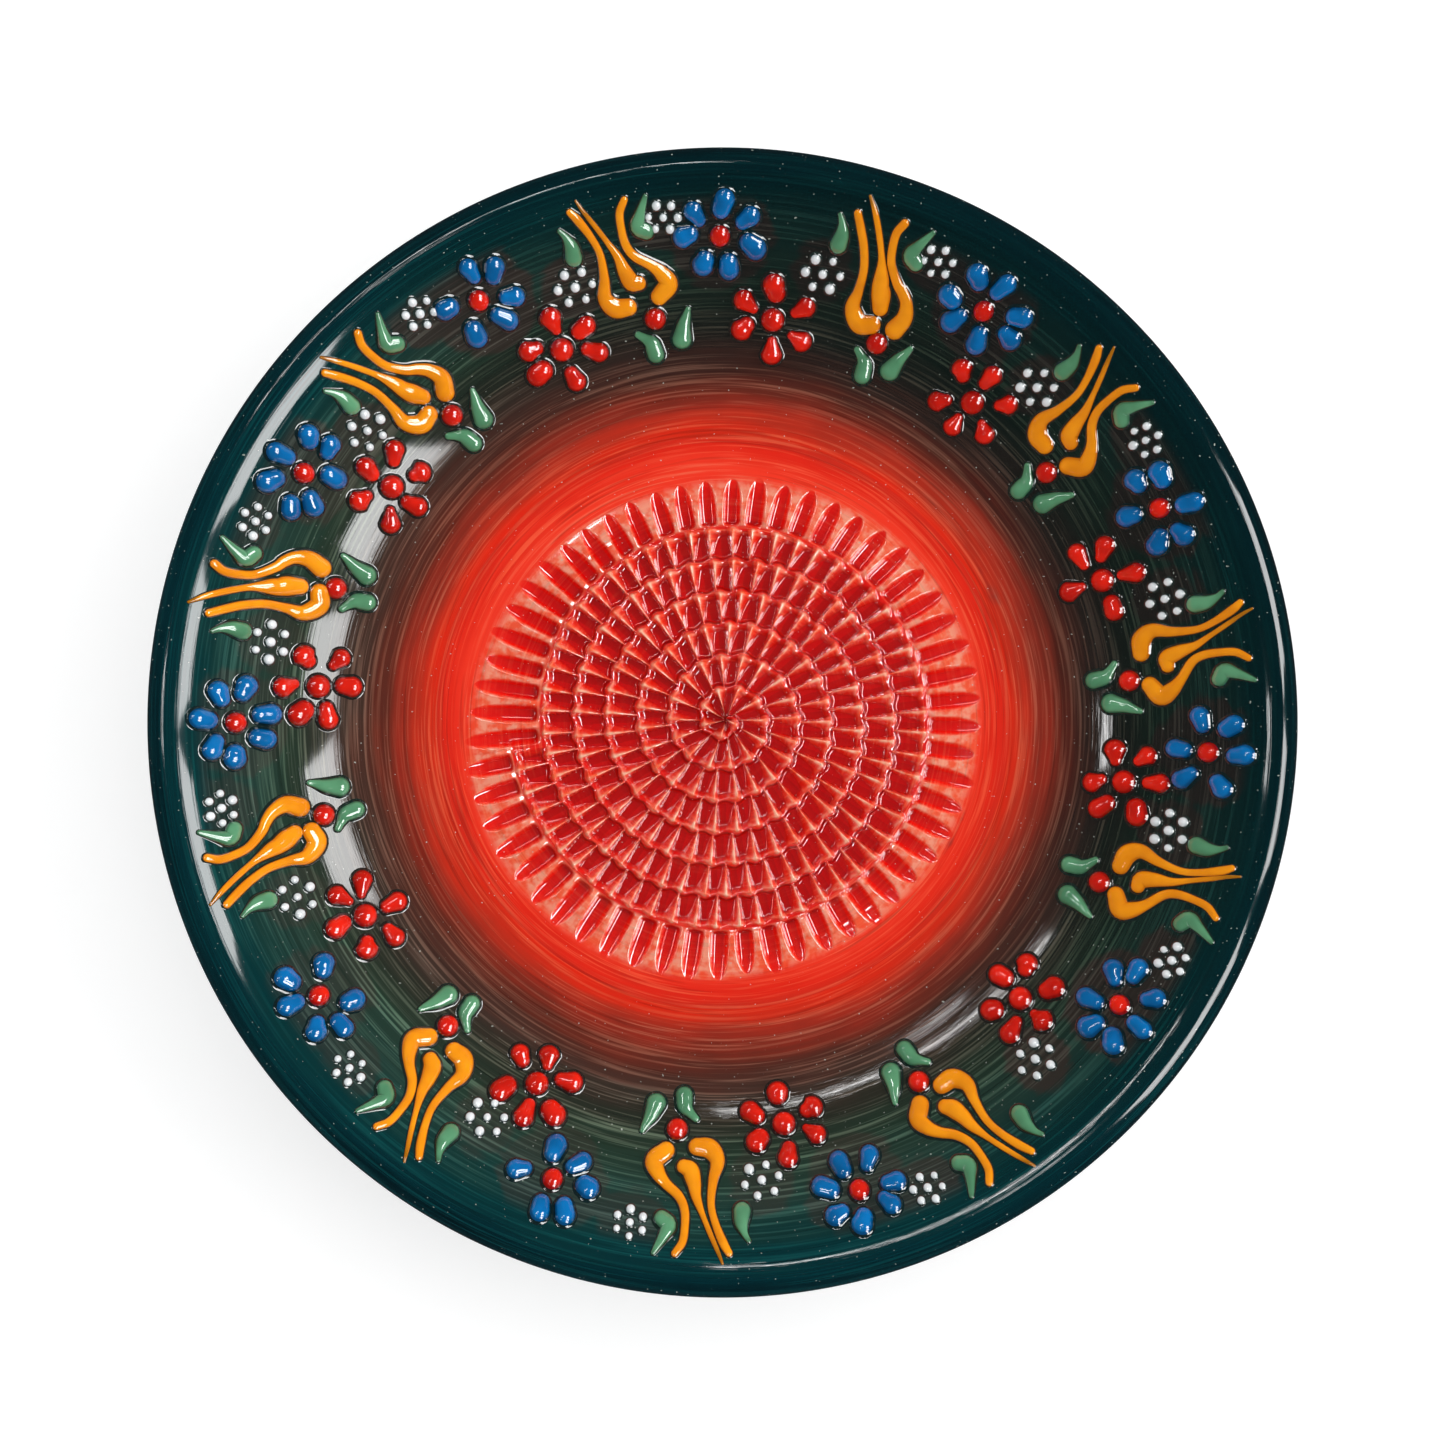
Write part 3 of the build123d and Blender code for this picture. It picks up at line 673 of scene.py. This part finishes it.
for number in numbers:
    node = f"blue_flower_{number}"
    middle = nearest(blue_middles, node)
    beads = []
    for place in cad_beads(node):
        length = blue_petal_length * chance.uniform(0.92, 1.1)
        half = blue_petal_half * chance.uniform(0.9, 1.08)
        beads.append(petal(place, middle, length, half, chance.uniform(0.7, 0.95)))
    bead_piece(f"blue_petals_{number}", beads, blue, [node])

hearts = [[(*place, blue_heart_half)] for place in blue_middles]
bead_piece("blue_flower_hearts", hearts, red, ["blue_flower_centres"])

for number in numbers:
    node = f"red_flower_{number}"
    places = cad_beads(node)
    middle = nearest(places, node)
    beads = [[(*middle, red_heart_half)]]
    for place in places:
        if place != middle:
            length = red_petal_length * chance.uniform(0.92, 1.15)
            half = red_petal_half * chance.uniform(0.9, 1.08)
            beads.append(petal(place, middle, length, half, chance.uniform(0.4, 0.95)))
    bead_piece(f"red_petals_{number}", beads, red, [node])

clouds = [(np.array(place), flower_cloud_reach) for place in blue_middles]
for number in numbers:
    node = f"white_dots_{number}"
    places = np.array(cad_beads(node))
    outer = np.hypot(places[:, 0], places[:, 1]) > outer_dots_from
    for cluster in (outer, ~outer):
        if cluster.any():
            clouds.append((places[cluster].mean(axis=0), dots_cloud_reach))
    if outer.any() and not outer.all():
        far = places[outer].mean(axis=0)
        places[outer] = far + (places[outer] - far) * outer_dots_spread
    beads = []
    for (x, y), far_dot in zip(places, outer):
        half = outer_dot_half if far_dot else dot_half
        beads.append([(x, y, half * chance.uniform(0.84, 1.16))])
    bead_piece(f"white_dots_raised_{number}", beads, white, [node])

# how near each point of the glaze is to the middle of a cloud
for piece in (well, border):
    corners = np.zeros(len(piece.data.vertices) * 3, np.float32)
    piece.data.vertices.foreach_get("co", corners)
    plan = corners.reshape(-1, 3)[:, :2] / MM
    dab = np.zeros(len(plan))
    for cloud_middle, reach in clouds:
        away = np.hypot(*(plan - cloud_middle).T)
        dab = np.maximum(dab, smooth_step(reach + cloud_edge, reach - cloud_edge, away))
    layer = piece.data.attributes.new("dab", "FLOAT", "POINT")
    layer.data.foreach_set("value", dab.astype(np.float32))

# Two tulips as laid by hand: (outward, counter-clockwise, half width) from the tulip's anchor.
tulip_anchor_radius = 54.0
bud_place = (-7.1, -2.5)
tulip_hands = (
    (
        ((-5.4, 0.1, 0.97), (-5.2, 1.6, 1.1), (-3.9, 2.5, 0.84), (-1.8, 2.1, 0.55), (0.7, 2.0, 0.42),
         (2.7, 2.6, 0.42), (4.7, 3.6, 0.49), (5.7, 4.3, 0.39)),
        ((-3.0, -1.6, 0.78), (-2.7, -0.8, 0.97), (-1.4, -0.3, 0.81), (0.2, 0.1, 0.52), (1.9, 0.9, 0.32),
         (3.9, 1.9, 0.29), (5.6, 2.8, 0.23), (6.9, 3.4, 0.13)),
        ((-4.8, -3.4, 0.97), (-3.7, -4.7, 1.07), (-2.4, -4.2, 0.84), (-1.3, -3.2, 0.58), (0.0, -1.6, 0.52),
         (1.4, -0.9, 0.49), (3.2, -0.8, 0.45), (4.8, -1.0, 0.45), (6.0, -1.8, 0.39)),
    ),
    (
        ((-5.4, -1.2, 1.03), (-5.7, 0.2, 1.11), (-4.3, 1.5, 0.87), (-2.4, 1.5, 0.55), (-0.1, 1.7, 0.48),
         (2.1, 2.5, 0.48), (3.7, 3.4, 0.48), (5.3, 4.4, 0.44)),
        ((-3.4, -1.5, 0.9), (-2.1, -1.1, 1.1), (-1.2, -0.7, 0.97), (-0.4, -0.5, 0.87), (1.6, 0.2, 0.4),
         (3.8, 1.3, 0.36), (5.8, 2.5, 0.32), (7.4, 3.7, 0.16)),
        ((-4.9, -4.1, 1.1), (-3.4, -4.7, 0.95), (-1.9, -4.4, 0.71), (-0.9, -3.6, 0.63), (-0.2, -2.7, 0.55),
         (1.6, -1.3, 0.48), (3.3, -0.8, 0.48), (4.9, -0.7, 0.48), (6.1, -1.2, 0.48)),
    ),
)
leaf_hands = (
    ((1.4, 5.2, 0.97), (2.6, 5.2, 0.78), (3.7, 5.6, 0.39), (4.4, 6.1, 0.26)),
    ((2.5, -3.7, 0.84), (3.2, -2.9, 0.91), (4.4, -3.4, 0.58), (6.1, -4.4, 0.26)),
    ((-10.9, -1.9, 0.95), (-9.6, -1.7, 0.87), (-8.9, -1.1, 0.55), (-8.3, -0.4, 0.4)),
    ((-9.8, -4.9, 1.11), (-8.4, -5.4, 0.79), (-7.3, -6.0, 0.48), (-6.7, -6.3, 0.32)),
)


def placed(points, bearing, shift=(0.0, 0.0)):
    """Local (outward, counter-clockwise, half width) rows as plan (x, y, half width) rows."""
    turn = radians(bearing)
    rows = []
    for outward, sideways, half in points:
        reach = tulip_anchor_radius + outward + shift[0]
        across = sideways + shift[1]
        rows.append((reach * cos(turn) - across * sin(turn), reach * sin(turn) + across * cos(turn), half))
    return rows


buds = cad_beads("tulip_buds")
for number in numbers:
    bud = nearest(buds, f"tulip_{number}")
    lead = degrees(atan2(bud_place[1], tulip_anchor_radius + bud_place[0]))
    bearing = degrees(atan2(bud[1], bud[0])) - lead
    share = chance.uniform(-0.2, 1.2)
    strokes = []
    for first, second in zip(*tulip_hands):
        spine = np.array(first[: len(second)]) * (1 - share) + np.array(second) * share
        spine[:, 2] = np.maximum(spine[:, 2], 0.12)
        strokes.append(placed(spine, bearing, chance.uniform(-0.2, 0.2, 2)))
    bead_piece(f"tulip_strokes_{number}", strokes, orange, [f"tulip_{number}"], 0.8)
    leaf_beads = [placed(leaf, bearing, chance.uniform(-0.25, 0.25, 2)) for leaf in leaf_hands]
    bead_piece(f"leaf_strokes_{number}", leaf_beads, green, [f"leaves_{number}"], 0.85)

bead_piece("tulip_bud_beads", [[(*place, bud_half)] for place in buds], red, ["tulip_buds"])


# ---- setting, light and camera ------------------------------------------------------------------
def backdrop():
    """A pale floor that sweeps up into a pale wall far away."""
    nodes = Nodes("pale_paper")
    nodes.gloss((0.6, 0.6, 0.6, 1), 0.9)
    nodes.put(nodes.shader.inputs["Emission Color"], (1, 1, 1, 1))
    nodes.put(nodes.shader.inputs["Emission Strength"], 0.56)
    nodes.put(nodes.shader.inputs["Specular IOR Level"], 0.0)
    profile = [(r, -0.00002) for r in (0.00005, 0.3, 0.8, 1.6, 2.4)]
    profile += [(2.4 + 0.8 * sin(a), 0.8 - 0.8 * cos(a)) for a in np.linspace(0, pi / 2, 12)[1:]]
    profile += [(3.2, 2.6)]
    turns = 96
    points = []
    for radius, height in profile:
        for angle in np.linspace(0, 2 * pi, turns, endpoint=False):
            points.append((radius * cos(angle), radius * sin(angle), height))
    mesh = bpy.data.meshes.new("backdrop")
    mesh.from_pydata(points, [], ring_faces(len(profile), turns))
    mesh.polygons.foreach_set("use_smooth", [True] * len(mesh.polygons))
    mesh.materials.append(nodes.material)
    paper = bpy.data.objects.new("backdrop", mesh)
    bpy.context.scene.collection.objects.link(paper)
    paper.visible_glossy = False


def soft_light(name, bearing, tilt, distance, size, strength, lights_surfaces=False):
    """An area light aimed at the plate: either a window seen in the glaze, or a soft light that fills the
    scene and isn't mirrored.  tilt is from straight up; strength is its radiance."""
    data = bpy.data.lights.new(name, "AREA")
    data.shape = "RECTANGLE"
    data.size, data.size_y = size
    data.energy = strength * pi * size[0] * size[1]
    light = bpy.data.objects.new(name, data)
    a, t = radians(bearing), radians(tilt)
    place = Vector((sin(t) * cos(a), sin(t) * sin(a), cos(t)))
    light.location = place * distance
    light.rotation_mode = "QUATERNION"
    light.rotation_quaternion = place.to_track_quat("Z", "Y")
    light.visible_glossy = not lights_surfaces
    light.visible_diffuse = lights_surfaces
    bpy.context.scene.collection.objects.link(light)


backdrop()
soft_light("overhead", 90, 20, 1.4, (1.8, 1.8), 1.02, lights_surfaces=True)
soft_light("window_fill", 12, 60, 1.5, (1.8, 1.1), 2.6, lights_surfaces=True)
soft_light("room_fill_back", 95, 60, 1.5, (1.8, 1.1), 0.3, lights_surfaces=True)
soft_light("room_fill_left", 185, 60, 1.5, (1.8, 1.1), 0.25, lights_surfaces=True)
soft_light("room_fill_front", 275, 60, 1.5, (1.8, 1.1), 0.5, lights_surfaces=True)
soft_light("window_pane_near", 15, 44, 0.9, (0.23, 0.40), 10)
soft_light("window_pane_middle", -8.5, 44, 0.9, (0.16, 0.40), 10)
soft_light("window_pane_far", -33, 44, 0.9, (0.22, 0.40), 10)
soft_light("ceiling_strip", 118, 30, 1.0, (0.55, 0.03), 22)
soft_light("lamp_left", 178, 29, 1.0, (0.08, 0.08), 15)
soft_light("lamp_above", 125, 17, 1.0, (0.06, 0.05), 10)

world = bpy.data.worlds.new("dim_room")
world.use_nodes = True
world.node_tree.nodes["Background"].inputs["Color"].default_value = (0.55, 0.6, 0.65, 1)
world.node_tree.nodes["Background"].inputs["Strength"].default_value = 0.06
bpy.context.scene.world = world

camera_height = 0.62
frame_share = 0.796      # the plate's width as a share of the picture's
half_view = plate_radius * MM / frame_share
lens = bpy.data.cameras.new("camera")
lens.sensor_width = 36
lens.lens = 18 * (camera_height - lip_centre[1] * MM) / half_view
camera = bpy.data.objects.new("camera", lens)
camera.location = (0, 0, camera_height)
bpy.context.scene.collection.objects.link(camera)
bpy.context.scene.camera = camera
bpy.context.scene.view_settings.view_transform = "Standard"
